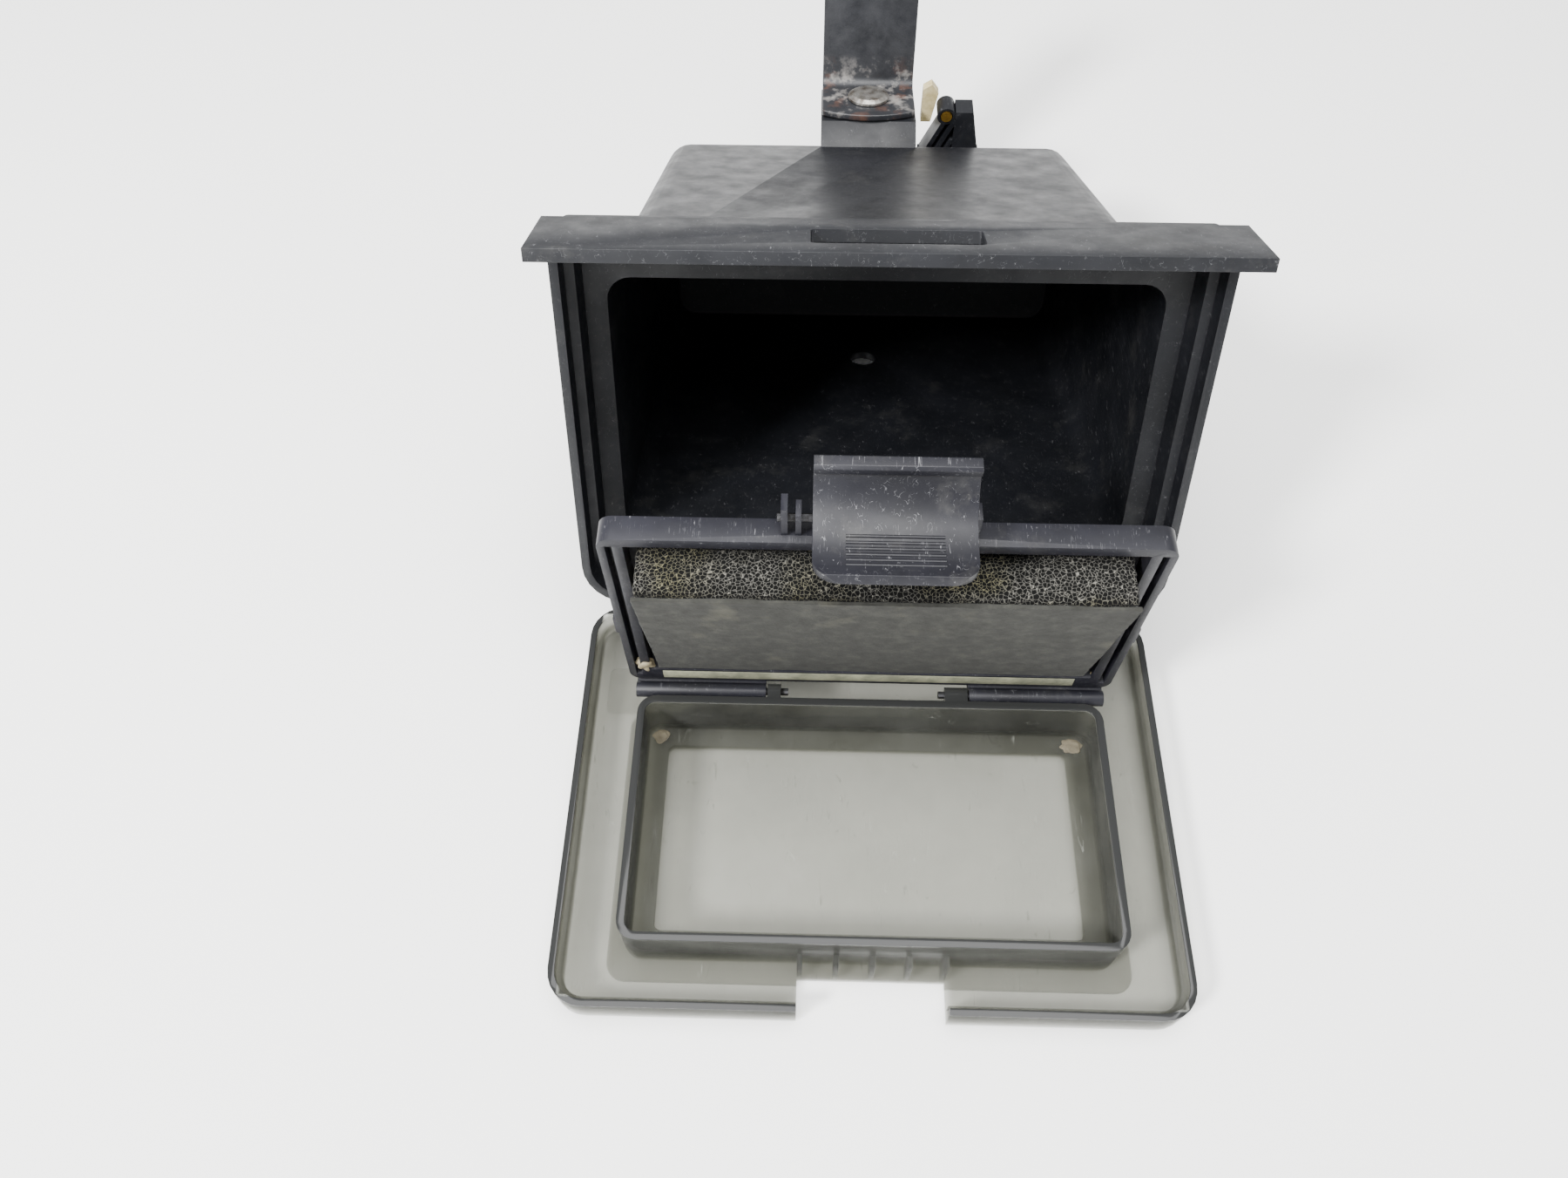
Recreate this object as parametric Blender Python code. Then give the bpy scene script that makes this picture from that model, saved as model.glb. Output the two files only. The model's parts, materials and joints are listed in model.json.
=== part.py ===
"""Overhead storage box for a garage-door remote, with its door and latch module swung out.

The frame is metres, +Z up: the door's flat outer face lies on the ground at Z = 0, +Y runs from the
viewer into the box, and the origin is the middle of the tray on that face. All sizes below are in
millimetres and are turned to metres where a mesh is made.
"""
import math

import bmesh
import bpy

MM = 0.001
GAP = 0.3
PAST = 2.0
OVERLAP = 1.0
EDGE_ANGLE = 35.0
ARC_STEPS = 6
ROUND_STEPS = 20

# Door: a clear shell lying face down, with a tray for the remote.
DOOR_WIDTH = 159.4
DOOR_FRONT = -46.6
DOOR_BACK = 66.3
DOOR_CORNER = 9.0
DOOR_FACE_RISE = 1.0
DOOR_FLOOR = 2.8
DOOR_RIM = 11.4
DOOR_WALL = 1.7
DOOR_LEDGE_WIDTH = 1.3
DOOR_LEDGE_TOP = 8.2
PAD_WIDTH = 134.0
PAD_FRONT = -38.0
PAD_BACK = 38.0
TRAY_WIDTH = 125.0
TRAY_DEPTH = 66.0
TRAY_RIM = 21.3
TRAY_WALL = 2.0
TRAY_CORNER = 5.0
TRAY_LEDGE_WIDTH = 5.2
TRAY_LEDGE_TOP = 4.4
TRAY_WINDOW_FLOOR = 1.8
NOTCH_SPAN = (-18.2, 19.0)
NOTCH_BOTTOM = -1.0
POCKET_RIB_COUNT = 5
POCKET_RIB = 1.3
POCKET_DEPTH = 3.6
POCKET_TOP = 15.5
MARK_SIZE = (9.5, 14.6)
MARK_CENTRE = (-69.4, 43.2)
MARK_HEIGHT = 0.4

# Door hinge, on the lower edge of the carrier.
HINGE_Y = 35.7
HINGE_Z = 19.3
HINGE_BARREL = 2.2
HINGE_PIN = 1.0
HINGE_PINS = {"hinge_pin_left": (-42.0, -22.0), "hinge_pin_right": (18.8, 42.0)}
HINGE_PIN_REACH = 42.0
DOOR_EARS = ((-27.6, -24.0), (20.4, 26.6))
HINGE_BARS = ((-63.4, -28.1), (27.1, 63.4))

# Carrier: a shallow frame that holds the foam pad.
CARRIER_Y = 38.3
CARRIER_Z = 20.5
CARRIER_LEAN = -2.0
CARRIER_WIDTH = 130.2
CARRIER_HEIGHT = 70.7
CARRIER_DEPTH = 6.4
CARRIER_CORNER = 3.5
CARRIER_WEB = 1.6
CARRIER_SIDE_BAR = 6.0
CARRIER_TOP_BAR = 3.0
CARRIER_SHELF = 6.0
CHANNEL_WIDTH = 1.6
CHANNEL_DEPTH = 3.8
CHANNEL_FROM_EDGE = 1.9
STOP_LUG_OUT = 1.2
STOP_LUG_DEPTH = (1.4, 4.6)
STOP_LUG_HEIGHT = (24.0, 31.0)

# Foam pad and its layers, in the carrier's own frame.
FOAM_WIDTH = 114.0
FOAM_BOTTOM = 6.4
FOAM_TOP = 63.2
FOAM_OVERHANG = 11.4
FACING_THICKNESS = 1.4
ADHESIVE_THICKNESS = 0.5

# Latch lever, its posts, pin and spring, in the carrier's own frame.
LATCH_CENTRE = 1.0
LATCH_HALF = 17.6
LATCH_PIVOT = (4.2, 74.6)
LATCH_BARREL = 2.4
LATCH_PIN = 1.0
LATCH_PIN_SPAN = (-24.4, 20.6)
LATCH_WALL = 2.2
LATCH_BARREL_INSET = (0.4, 0.8)
LATCH_HOLLOW = (-7.5, 95.0)
LATCH_HOLLOW_RADIUS = 14.2
LATCH_THUMB_ANGLE = 236.0
LATCH_LIP_ANGLE = 340.0
LATCH_TIP = 93.0
LATCH_LIP = (4.5, 8.3)
LATCH_LEG = (3.3, 5.9)
LATCH_THUMB_CORNER = 6.5
LATCH_THUMB_REACH = 9.2
LATCH_LIP_CORNER = 0.5
LATCH_LIP_BEVEL = 0.7
LATCH_HOOK_DROP = 3.5
LATCH_SHOULDER = 5.4
LATCH_SPRING_GAP = 9.0
LEFT_OUTER_POST = ((-23.5, -22.0), 80.6)
LEFT_INNER_POST = ((-20.3, -19.0), 78.4)
RIGHT_POST = ((19.0, 20.3), 78.4)
POST_DEPTH = (2.0, 6.4)
SPRING_TURNS = 5
SPRING_WIRE = 0.35
SPRING_RADIUS = 2.1
SPRING_HALF = 6.0
SPRING_STEPS = 14
SPRING_SIDES = 6

# Housing: a stepped tub that leans back on its lower rear edge.
LIP_Y = 52.7
LIP_Z = 37.0
HOUSING_LEAN = 22.8
MOUTH_WIDTH = 153.8
MOUTH_HEIGHT = 98.5
MOUTH_DEPTH = 15.0
MOUTH_CORNER = 11.0
MOUTH_LEDGE_DEPTH = 6.0
MOUTH_LEDGE = 2.4
WALL = 2.2
TUB_LENGTH = 146.0
TUB_FRONT = (138.2, 10.9, 86.7)
TUB_BACK = (132.8, 21.9, 81.8)
TUB_CORNER = 8.0
DRAIN_HOLE = (112.8, 4.3)

# Flange across the top of the mouth.
FLANGE_WIDTH = 157.0
FLANGE_FRONT = -15.9
FLANGE_BACK = 5.6
FLANGE_THICKNESS = 3.0
SLOT_SPAN = (-18.2, 19.2)
SLOT_FRONT = -9.9
SLOT_BACK = -0.8
SLOT_CORNER = 1.0

# Rear boss, steel strap and rivet, as Y and Z in the world frame.
BOSS_HALF = 15.6
BOSS_OUTLINE = ((212.0, 50.5), (218.6, 57.2), (225.8, 60.4), (248.0, 56.5), (247.3, 52.6), (229.0, 55.8),
                (212.0, 44.0))
STRAP_HALF = 15.3
STRAP_THICKNESS = 2.0
STRAP_SLOPE = -10.0
STRAP_FRONT = (225.0, 60.9)
STRAP_FOOT = 20.0
STRAP_BEND = 3.0
STRAP_ARM_LEAN = 15.0
STRAP_ARM = 62.0
STRAP_NOSE = 3.6
STRAP_NOSE_ARC = 30.0
RIVET_ALONG = 12.4
RIVET_HEAD = 6.8
RIVET_HEAD_HEIGHT = 1.8
RIVET_DOME = ((1.0, 0.0), (1.0, 0.4), (0.8, 0.85), (0.4, 1.0))
RIVET_SHANK = 2.4
RIVET_TAIL_RADIUS = 4.4
RIVET_TAIL_SPAN = (-5.8, -4.6)

# Moulded bracket beside the strap, with its bush and pin.
BRACKET_Y = 227.5
BRACKET_DEPTH = 7.0
BRACKET_SHELF = (17.6, 38.2)
SHELF_OUTLINE = ((213.6, 41.9), (234.5, 41.9), (234.5, 45.4), (215.1, 45.4))
RIB_SLOPE = 0.47
RIB_STARTS = (17.8, 21.0, 24.2)
RIB_WIDTH = 1.7
RIB_ROOT = 0.6
RIB_TOPS = (61.0, 59.8, 52.4)
SIDE_PLATE = ((28.6, 44.9), (38.0, 44.9), (34.4, 62.8), (28.6, 62.8))
BACK_PLATE = ((17.6, 44.4), (34.2, 44.4), (30.0, 59.4), (25.0, 59.4))
BACK_PLATE_THICKNESS = 1.6
LOOP_CENTRE = (25.6, 61.2)
LOOP_OUTER = 3.0
LOOP_BORE = 1.8
BUSH_OUTLINE = ((17.9, 54.0), (21.2, 54.0), (23.0, 64.6), (20.6, 67.8), (17.9, 66.0))
BUSH_DEPTH = (234.8, 238.0)


def clear_scene():
    for item in list(bpy.data.objects):
        bpy.data.objects.remove(item, do_unlink=True)


def make_material(name, colour, roughness, metallic=0.0, alpha=1.0):
    """A plain Principled material: the colour is linear RGB."""
    material = bpy.data.materials.new(name)
    material.use_nodes = True
    shader = material.node_tree.nodes["Principled BSDF"]
    shader.inputs["Base Color"].default_value = (*colour, 1.0)
    shader.inputs["Roughness"].default_value = roughness
    shader.inputs["Metallic"].default_value = metallic
    shader.inputs["Alpha"].default_value = alpha
    return material


def make_frame(name, y, z, lean):
    """An empty whose Z axis leans back by the given angle; parts are modelled in its frame."""
    frame = bpy.data.objects.new(name, None)
    frame.location = (0.0, y * MM, z * MM)
    frame.rotation_euler = (-math.radians(lean), 0.0, 0.0)
    bpy.context.collection.objects.link(frame)
    return frame


def to_point(across, along, axis):
    """Places an outline point (two values) and its height along an axis as an XYZ point."""
    first, second = across
    order = {"X": (along, first, second), "Y": (first, along, second), "Z": (first, second, along)}
    return tuple(value * MM for value in order[axis])


def make_object(name, mesh_data, frame=None):
    """Turns a bmesh into an object with its faces pointing out, parented to a frame."""
    bmesh.ops.recalc_face_normals(mesh_data, faces=mesh_data.faces)
    mesh = bpy.data.meshes.new(name)
    mesh_data.to_mesh(mesh)
    mesh_data.free()
    item = bpy.data.objects.new(name, mesh)
    item.parent = frame
    bpy.context.collection.objects.link(item)
    return item


def loft(name, sections, axis, frame=None):
    """A closed body through outlines of equal length: sections are (outline, position) pairs."""
    shape = bmesh.new()
    rings = []
    for outline, position in sections:
        rings.append([shape.verts.new(to_point(point, position, axis)) for point in outline])
    for lower, upper in zip(rings, rings[1:]):
        for index in range(len(lower)):
            after = (index + 1) % len(lower)
            shape.faces.new((lower[index], lower[after], upper[after], upper[index]))
    shape.faces.new(rings[0])
    shape.faces.new(rings[-1])
    return make_object(name, shape, frame)


def prism(name, outline, start, end, axis, frame=None):
    return loft(name, ((outline, start), (outline, end)), axis, frame)


def box(name, x_span, y_span, z_span, frame=None):
    outline = rectangle(x_span, y_span)
    return prism(name, outline, z_span[0], z_span[1], "Z", frame)


def rectangle(first_span, second_span):
    (left, right), (low, high) = first_span, second_span
    return [(left, low), (right, low), (right, high), (left, high)]


def arc(centre, radius, start, end, steps=ARC_STEPS):
    """Points along an arc, in degrees, both ends included."""
    points = []
    for index in range(steps + 1):
        angle = math.radians(start + (end - start) * index / steps)
        points.append((centre[0] + radius * math.cos(angle), centre[1] + radius * math.sin(angle)))
    return points


def rounded_rectangle(first_span, second_span, low_radius, high_radius=None, steps=ARC_STEPS):
    """An outline with round corners; the two corners at the high end may have their own radius."""
    (left, right), (low, high) = first_span, second_span
    top = low_radius if high_radius is None else high_radius
    points = arc((left + low_radius, low + low_radius), low_radius, 180, 270, steps)
    points += arc((right - low_radius, low + low_radius), low_radius, 270, 360, steps)
    points += arc((right - top, high - top), top, 0, 90, steps)
    points += arc((left + top, high - top), top, 90, 180, steps)
    return points


def circle(centre, radius, steps=ROUND_STEPS):
    return arc(centre, radius, 0, 360 - 360 / steps, steps - 1)


def combine(target, tool, operation):
    """Cuts or joins a tool into the target for good, and removes the tool."""
    change = target.modifiers.new("combine", "BOOLEAN")
    change.object = tool
    change.operation = operation
    change.solver = "EXACT"
    bpy.context.view_layer.update()
    graph = bpy.context.evaluated_depsgraph_get()
    result = bpy.data.meshes.new_from_object(target.evaluated_get(graph))
    target.modifiers.clear()
    target.data = result
    bpy.data.objects.remove(tool, do_unlink=True)


def cut(target, tool):
    combine(target, tool, "DIFFERENCE")


def join(target, tool):
    combine(target, tool, "UNION")


def finish(item, material, smooth=True):
    """Gives a part its material, and smooth shading up to the edge angle."""
    item.data.materials.clear()
    item.data.materials.append(material)
    if smooth:
        item.data.shade_smooth()
        item.data.set_sharp_from_angle(angle=math.radians(EDGE_ANGLE))
    return item


def half_span(width):
    return (-width / 2, width / 2)


def inset_span(span, amount):
    return (span[0] + amount, span[1] - amount)


def make_door(smoked):
    """The clear door: floor, raised face, stepped rim, tray, notch, pockets and hinge ears."""
    wide = half_span(DOOR_WIDTH)
    deep = (DOOR_FRONT, DOOR_BACK)
    outline = rounded_rectangle(wide, deep, DOOR_CORNER)
    door = prism("door_shell", outline, DOOR_FACE_RISE, DOOR_RIM, "Z")
    step = DOOR_WALL + DOOR_LEDGE_WIDTH
    upper = rounded_rectangle(inset_span(wide, DOOR_WALL), inset_span(deep, DOOR_WALL),
                              DOOR_CORNER - DOOR_WALL)
    cut(door, prism("upper_space", upper, DOOR_LEDGE_TOP, DOOR_RIM + PAST, "Z"))
    lower = rounded_rectangle(inset_span(wide, step), inset_span(deep, step), DOOR_CORNER - step)
    cut(door, prism("lower_space", lower, DOOR_FLOOR, DOOR_RIM, "Z"))
    face = rounded_rectangle(half_span(PAD_WIDTH), (PAD_FRONT, PAD_BACK), TRAY_CORNER)
    join(door, prism("raised_face", face, 0.0, DOOR_FLOOR - GAP, "Z"))

    tray_wide = half_span(TRAY_WIDTH)
    tray_deep = half_span(TRAY_DEPTH)
    tray = rounded_rectangle(tray_wide, tray_deep, TRAY_CORNER)
    join(door, prism("tray", tray, DOOR_FACE_RISE, TRAY_RIM, "Z"))
    space = rounded_rectangle(inset_span(tray_wide, TRAY_WALL), inset_span(tray_deep, TRAY_WALL),
                              TRAY_CORNER - TRAY_WALL)
    cut(door, prism("tray_space", space, TRAY_LEDGE_TOP, TRAY_RIM + PAST, "Z"))
    ledge = TRAY_WALL + TRAY_LEDGE_WIDTH
    window = rounded_rectangle(inset_span(tray_wide, ledge), inset_span(tray_deep, ledge), TRAY_WALL)
    cut(door, prism("tray_window", window, TRAY_WINDOW_FLOOR, TRAY_RIM, "Z"))

    notch_deep = (DOOR_FRONT - PAST, tray_deep[0] - POCKET_DEPTH)
    cut(door, box("notch", NOTCH_SPAN, notch_deep, (NOTCH_BOTTOM, DOOR_RIM + PAST)))
    pitch = (NOTCH_SPAN[1] - NOTCH_SPAN[0] - POCKET_RIB) / (POCKET_RIB_COUNT - 1)
    for index in range(POCKET_RIB_COUNT):
        left = NOTCH_SPAN[0] + index * pitch
        rib_deep = (tray_deep[0] - POCKET_DEPTH, tray_deep[0] + TRAY_WALL / 2)
        join(door, box("rib", (left, left + POCKET_RIB), rib_deep, (DOOR_FACE_RISE + GAP, POCKET_TOP)))
    mark_x = (MARK_CENTRE[0] - MARK_SIZE[0] / 2, MARK_CENTRE[0] + MARK_SIZE[0] / 2)
    mark_y = (MARK_CENTRE[1] - MARK_SIZE[1] / 2, MARK_CENTRE[1] + MARK_SIZE[1] / 2)
    mark = rounded_rectangle(mark_x, mark_y, TRAY_WALL)
    join(door, prism("mark", mark, DOOR_FLOOR - OVERLAP, DOOR_FLOOR + MARK_HEIGHT, "Z"))

    for span in DOOR_EARS:
        back_wall = tray_deep[1] - TRAY_WALL / 2
        low, high = HINGE_Z - HINGE_BARREL, HINGE_Z + HINGE_BARREL
        join(door, prism("ear", rectangle((back_wall, HINGE_Y), (low, TRAY_RIM)), *span, "X"))
        join(door, prism("ear_round", circle((HINGE_Y, HINGE_Z), HINGE_BARREL), *span, "X"))
        hole = circle((HINGE_Y, HINGE_Z), HINGE_PIN + GAP)
        cut(door, prism("ear_hole", hole, span[0] - PAST, span[1] + PAST, "X"))
    return finish(door, smoked)


def make_hinge_pins(steel):
    outline = circle((HINGE_Y, HINGE_Z), HINGE_PIN, ROUND_STEPS // 2)
    for name, span in HINGE_PINS.items():
        finish(prism(name, outline, *span, "X"), steel)


def make_carrier(frame, black):
    """The frame round the foam: shelf, channelled side bars, back web, posts and hinge bars."""
    outline = rounded_rectangle(half_span(CARRIER_WIDTH), (0.0, CARRIER_HEIGHT), CARRIER_CORNER)
    carrier = prism("carrier_frame", outline, 0.0, CARRIER_DEPTH, "Y", frame)
    inner = half_span(CARRIER_WIDTH - 2 * CARRIER_SIDE_BAR)
    height = (CARRIER_SHELF, CARRIER_HEIGHT - CARRIER_TOP_BAR)
    web = CARRIER_DEPTH - CARRIER_WEB
    cut(carrier, prism("pocket", rectangle(inner, height), -PAST, web, "Y", frame))
    for side in (-1, 1):
        edge = side * (CARRIER_WIDTH / 2 - CHANNEL_FROM_EDGE)
        span = sorted((edge, edge - side * CHANNEL_WIDTH))
        channel = (CARRIER_SHELF / 2, CARRIER_HEIGHT - CARRIER_TOP_BAR)
        cut(carrier, box("channel", span, (-PAST, CHANNEL_DEPTH), channel, frame))
        wall = side * (CARRIER_WIDTH / 2 - OVERLAP)
        span = sorted((wall, side * (CARRIER_WIDTH / 2 + STOP_LUG_OUT)))
        join(carrier, box("stop_lug", span, STOP_LUG_DEPTH, STOP_LUG_HEIGHT, frame))
    for span, top in (LEFT_OUTER_POST, LEFT_INNER_POST, RIGHT_POST):
        low = CARRIER_HEIGHT - CARRIER_TOP_BAR / 2
        join(carrier, box("post", span, POST_DEPTH, (low, top), frame))
    hole = circle(LATCH_PIVOT, LATCH_PIN + GAP, ROUND_STEPS // 2)
    cut(carrier, prism("post_holes", hole, *inset_span(LATCH_PIN_SPAN, -PAST), "X", frame))

    for span in HINGE_BARS:
        low, high = HINGE_Z - HINGE_BARREL, HINGE_Z + HINGE_BARREL
        arm = rectangle((HINGE_Y, CARRIER_Y + CARRIER_DEPTH - OVERLAP), (low, CARRIER_Z + OVERLAP))
        arm[3] = (HINGE_Y, HINGE_Z)
        join(carrier, prism("hinge_arm", arm, *span, "X"))
        join(carrier, prism("hinge_round", circle((HINGE_Y, HINGE_Z), HINGE_BARREL), *span, "X"))
    hole = circle((HINGE_Y, HINGE_Z), HINGE_PIN + GAP)
    reach = HINGE_PIN_REACH + GAP
    cut(carrier, prism("hinge_hole", hole, -reach, reach, "X"))
    return finish(carrier, black)


def foam_face(height):
    """How far ahead of the carrier's front plane the pad's face stands at a height."""
    return -(height - FOAM_BOTTOM) * math.tan(math.radians(FOAM_OVERHANG))


def make_foam(frame, foam_grey, facing_grey, glue):
    """The pad in layers: glue on the web, coarse foam, and a fine facing."""
    half = half_span(FOAM_WIDTH)
    web = CARRIER_DEPTH - CARRIER_WEB
    glue_back = web - GAP
    glue_front = glue_back - ADHESIVE_THICKNESS
    height = (FOAM_BOTTOM, FOAM_TOP)
    sheet = prism("foam_adhesive", rectangle((glue_front, glue_back), height), *half, "X", frame)
    finish(sheet, glue, smooth=False)
    back = glue_front - GAP
    low, high = foam_face(FOAM_BOTTOM), foam_face(FOAM_TOP)
    skin = FACING_THICKNESS
    outline = [(low + skin + GAP, FOAM_BOTTOM), (back, FOAM_BOTTOM), (back, FOAM_TOP),
               (high + skin + GAP, FOAM_TOP)]
    finish(prism("foam_block", outline, *half, "X", frame), foam_grey, smooth=False)
    outline = [(low, FOAM_BOTTOM), (low + skin, FOAM_BOTTOM), (high + skin, FOAM_TOP), (high, FOAM_TOP)]
    finish(prism("foam_facing", outline, *half, "X", frame), facing_grey, smooth=False)


def latch_outline():
    """The lever's section, as depth behind the carrier's front plane and height above its foot.

    It starts at the thumb end, follows the hollow front surface up to the lip, and returns down the
    leg to the pivot and along the underside.
    """
    pivot_z = LATCH_PIVOT[1]
    outer_radius = LATCH_HOLLOW_RADIUS + LATCH_WALL
    leg_front, leg_back = LATCH_LEG
    lip_front, lip_back = LATCH_LIP
    leg_angle = 360 - math.degrees(math.acos((leg_front - LATCH_HOLLOW[0]) / outer_radius))
    points = arc(LATCH_HOLLOW, LATCH_HOLLOW_RADIUS, LATCH_THUMB_ANGLE, LATCH_LIP_ANGLE, 14)
    bevel = LATCH_LIP_BEVEL
    points += [(lip_front, points[-1][1] + LATCH_LIP_CORNER), (lip_front, LATCH_TIP - bevel)]
    points += [(lip_front + bevel, LATCH_TIP), (lip_back - bevel, LATCH_TIP)]
    points += [(lip_back, LATCH_TIP - bevel), (lip_back, LATCH_TIP - LATCH_HOOK_DROP)]
    points += [(leg_back, pivot_z + LATCH_SHOULDER), (leg_back, pivot_z), (leg_front - bevel, pivot_z)]
    points += arc(LATCH_HOLLOW, outer_radius, leg_angle, LATCH_THUMB_ANGLE, 11)
    return points


def make_latch(frame, black):
    """The latch lever: hooked plate, thumb tab and two pivot barrels either side of a spring gap."""
    span = (LATCH_CENTRE - LATCH_HALF, LATCH_CENTRE + LATCH_HALF)
    lever = prism("latch_lever", latch_outline(), *span, "X", frame)
    barrel = (span[0] + LATCH_BARREL_INSET[0], span[1] - LATCH_BARREL_INSET[1])
    join(lever, prism("barrel", circle(LATCH_PIVOT, LATCH_BARREL), *barrel, "X", frame))
    thumb = (LATCH_HOLLOW[0] - LATCH_THUMB_REACH, LATCH_LIP[1] + PAST)
    plan = rounded_rectangle(span, thumb, LATCH_THUMB_CORNER, LATCH_LIP_CORNER)
    combine(lever, prism("plan", plan, 0.0, 2 * LATCH_TIP, "Z", frame), "INTERSECT")
    pivot_y, pivot_z = LATCH_PIVOT
    window = (pivot_z - LATCH_BARREL - PAST, pivot_z + LATCH_BARREL + OVERLAP)
    gap = half_span(2 * LATCH_SPRING_GAP)
    reach = 2 * LATCH_BARREL
    cut(lever, box("spring_gap", gap, (pivot_y - reach, pivot_y + reach), window, frame))
    hole = circle(LATCH_PIVOT, LATCH_PIN + GAP, ROUND_STEPS // 2)
    cut(lever, prism("pin_hole", hole, span[0] - PAST, span[1] + PAST, "X", frame))
    return finish(lever, black)


def make_latch_pin(frame, steel):
    outline = circle(LATCH_PIVOT, LATCH_PIN, ROUND_STEPS // 2)
    finish(prism("latch_pin", outline, *LATCH_PIN_SPAN, "X", frame), steel)


def make_spring(frame, steel):
    """A torsion spring round the latch pin, as one closed tube."""
    sides = SPRING_SIDES
    count = SPRING_TURNS * SPRING_STEPS
    shape = bmesh.new()
    rings = []
    for index in range(count + 1):
        share = index / count
        angle = share * SPRING_TURNS * math.tau
        out = (math.cos(angle), math.sin(angle))
        along = (2 * share - 1) * SPRING_HALF
        ring = []
        for side in range(sides):
            turn = side / sides * math.tau
            radius = SPRING_RADIUS + SPRING_WIRE * math.cos(turn)
            point = (LATCH_PIVOT[0] + radius * out[0], LATCH_PIVOT[1] + radius * out[1])
            ring.append(shape.verts.new(to_point(point, along + SPRING_WIRE * math.sin(turn), "X")))
        rings.append(ring)
    for lower, upper in zip(rings, rings[1:]):
        for side in range(sides):
            after = (side + 1) % sides
            shape.faces.new((lower[side], lower[after], upper[after], upper[side]))
    shape.faces.new(rings[0])
    shape.faces.new(rings[-1])
    finish(make_object("latch_spring", shape, frame), steel)


def tub_outline(section, inset):
    width, low, high = section
    return rounded_rectangle(inset_span(half_span(width), inset), inset_span((low, high), inset),
                             TUB_CORNER - inset)


def make_housing(frame):
    """The stepped tub: a wide mouth with a ledge, then a tapering box with a rear boss."""
    mouth_wide, mouth_high = half_span(MOUTH_WIDTH), (0.0, MOUTH_HEIGHT)
    mouth = rounded_rectangle(mouth_wide, mouth_high, MOUTH_CORNER, WALL)
    housing = prism("housing_tub", mouth, 0.0, MOUTH_DEPTH + WALL, "Y", frame)
    outside = ((tub_outline(TUB_FRONT, 0.0), MOUTH_DEPTH), (tub_outline(TUB_BACK, 0.0), TUB_LENGTH))
    join(housing, loft("tub_outside", outside, "Y", frame))
    join(housing, prism("rear_boss", BOSS_OUTLINE, -BOSS_HALF, BOSS_HALF, "X"))
    upper = rounded_rectangle(inset_span(mouth_wide, WALL), inset_span(mouth_high, WALL),
                              MOUTH_CORNER - WALL, WALL)
    cut(housing, prism("mouth_space", upper, -PAST, MOUTH_LEDGE_DEPTH, "Y", frame))
    ledge = WALL + MOUTH_LEDGE
    lower = rounded_rectangle(inset_span(mouth_wide, ledge), inset_span(mouth_high, ledge),
                              MOUTH_CORNER - ledge, WALL)
    cut(housing, prism("ledge_space", lower, -PAST, MOUTH_DEPTH, "Y", frame))
    inside = ((tub_outline(TUB_FRONT, WALL), MOUTH_DEPTH - OVERLAP),
              (tub_outline(TUB_BACK, WALL), TUB_LENGTH - WALL))
    cut(housing, loft("tub_space", inside, "Y", frame))
    along, radius = DRAIN_HOLE
    floor = (TUB_FRONT[1] - PAST, TUB_BACK[1] + 3 * PAST)
    cut(housing, prism("drain", circle((0.0, along), radius), *floor, "Z", frame))
    return housing


def make_flange(frame, black):
    deep = (FLANGE_FRONT, FLANGE_BACK)
    low = MOUTH_HEIGHT + GAP
    high = low + FLANGE_THICKNESS
    flange = box("mounting_flange", half_span(FLANGE_WIDTH), deep, (low, high), frame)
    slot = rounded_rectangle(SLOT_SPAN, (SLOT_FRONT, SLOT_BACK), SLOT_CORNER, steps=2)
    cut(flange, prism("slot", slot, low - PAST, high + PAST, "Z", frame))
    return finish(flange, black)


def strap_point(along, above):
    """A point over the strap's sloping foot, measured from its front end."""
    slope = math.radians(STRAP_SLOPE)
    return (STRAP_FRONT[0] + along * math.cos(slope) - above * math.sin(slope),
            STRAP_FRONT[1] + along * math.sin(slope) + above * math.cos(slope))


def strap_outline():
    """The strap's side view: foot, bend and arm, as one thickness of sheet."""
    centre = strap_point(STRAP_FOOT, STRAP_BEND + STRAP_THICKNESS)
    bend_start = 270 + STRAP_SLOPE
    bend_end = 360 - STRAP_ARM_LEAN
    outer = arc(centre, STRAP_BEND + STRAP_THICKNESS, bend_start, bend_end)
    inner = arc(centre, STRAP_BEND, bend_end, bend_start)
    lean = math.radians(STRAP_ARM_LEAN)
    rise = (STRAP_ARM * math.sin(lean), STRAP_ARM * math.cos(lean))
    tips = [(point[0] + rise[0], point[1] + rise[1]) for point in (outer[-1], inner[0])]
    return [strap_point(0.0, 0.0)] + outer + tips + inner + [strap_point(0.0, STRAP_THICKNESS)]


def cut_rivet_hole(item, foot):
    hole = circle((0.0, RIVET_ALONG), RIVET_SHANK + GAP)
    cut(item, prism("rivet_hole", hole, -5 * PAST, 5 * PAST, "Z", foot))


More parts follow.
